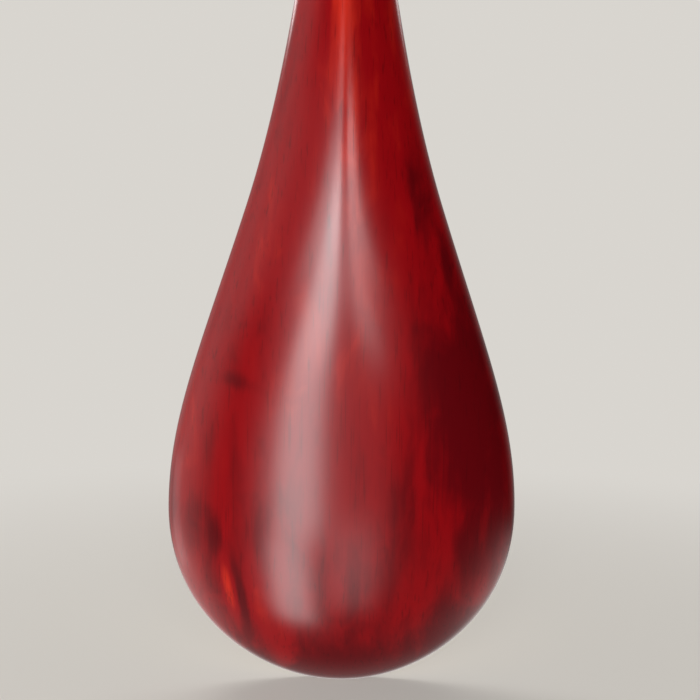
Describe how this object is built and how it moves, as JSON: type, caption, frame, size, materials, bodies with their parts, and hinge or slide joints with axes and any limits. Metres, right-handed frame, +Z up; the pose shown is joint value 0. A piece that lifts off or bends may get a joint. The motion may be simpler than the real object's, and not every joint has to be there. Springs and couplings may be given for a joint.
{
  "type": "pear-shaped plucked lute",
  "caption": "Pear-shaped lute with a one-piece carved back and neck, flat soundboard, raised frets, tied bridge and lateral tuning pegs that turn in a backward-leaning peg box.",
  "frame": {"origin": "centre of the small flat at the foot of the back, on the middle plane, at the lowest point of the instrument", "axes": "+Z up along the neck towards the head, -Y out of the soundboard, +Y out of the carved back, +X to the player's treble-string side; the soundboard's face is the plane y = -2.2 mm"},
  "size_m": [0.2996, 0.1199, 0.9927],
  "materials": {
    "stained_hardwood": "red stain under satin lacquer",
    "paulownia_board": "thin matt varnish",
    "inner_softwood": "bare",
    "dark_hardwood": "oiled satin",
    "bamboo": "scraped, waxed",
    "bone": "polished bone or bone-coloured resin",
    "wound_string": "flat-wound"
  },
  "bodies": {
    "lute": {"back_shell": "stained_hardwood", "soundboard": "paulownia_board", "lower_sound_bar": "inner_softwood", "upper_sound_bar": "inner_softwood", "upper_sound_post": "inner_softwood", "left_sound_post": "inner_softwood", "right_sound_post": "inner_softwood", "neck_ledge_1": "dark_hardwood", "neck_ledge_2": "dark_hardwood", "neck_ledge_3": "dark_hardwood", "neck_ledge_4": "dark_hardwood", "neck_ledge_5": "dark_hardwood", "neck_ledge_6": "dark_hardwood", "fret_01": "bamboo", "fret_02": "bamboo", "fret_03": "bamboo", "fret_04": "bamboo", "fret_05": "bamboo", "fret_06": "bamboo", "fret_07": "bamboo", "fret_08": "bamboo", "fret_09": "bamboo", "fret_10": "bamboo", "fret_11": "bamboo", "fret_12": "bamboo", "fret_13": "bamboo", "fret_14": "bamboo", "fret_15": "bamboo", "fret_16": "bamboo", "fret_17": "bamboo", "fret_18": "bamboo", "fret_19": "bamboo", "fret_20": "bamboo", "fret_21": "bamboo", "fret_22": "bamboo", "fret_23": "bamboo", "fret_24": "bamboo", "nut": "bone", "bridge": "dark_hardwood", "bridge_saddle": "bone", "peg_box": "stained_hardwood", "head_ornament": "stained_hardwood", "ornament_inlay": "bone", "string_1": "wound_string", "string_2": "wound_string", "string_3": "wound_string", "string_4": "wound_string"},
    "tuning_peg_1": {"peg_1": "dark_hardwood", "peg_button_1": "bone", "string_coil_1": "wound_string"},
    "tuning_peg_2": {"peg_2": "dark_hardwood", "peg_button_2": "bone", "string_coil_2": "wound_string"},
    "tuning_peg_3": {"peg_3": "dark_hardwood", "peg_button_3": "bone", "string_coil_3": "wound_string"},
    "tuning_peg_4": {"peg_4": "dark_hardwood", "peg_button_4": "bone", "string_coil_4": "wound_string"}
  },
  "joints": [
    {"name": "peg_1_turn", "type": "hinge", "parent": "lute", "child": "tuning_peg_1", "pos_m": [0, 0.01363, 0.84143], "axis": [-1, 0, 0], "continuous": true},
    {"name": "peg_2_turn", "type": "hinge", "parent": "lute", "child": "tuning_peg_2", "pos_m": [0, 0.02669, 0.86642], "axis": [1, 0, 0], "continuous": true},
    {"name": "peg_3_turn", "type": "hinge", "parent": "lute", "child": "tuning_peg_3", "pos_m": [0, 0.04169, 0.8924], "axis": [-1, 0, 0], "continuous": true},
    {"name": "peg_4_turn", "type": "hinge", "parent": "lute", "child": "tuning_peg_4", "pos_m": [0, 0.05669, 0.91838], "axis": [1, 0, 0], "continuous": true}
  ]
}
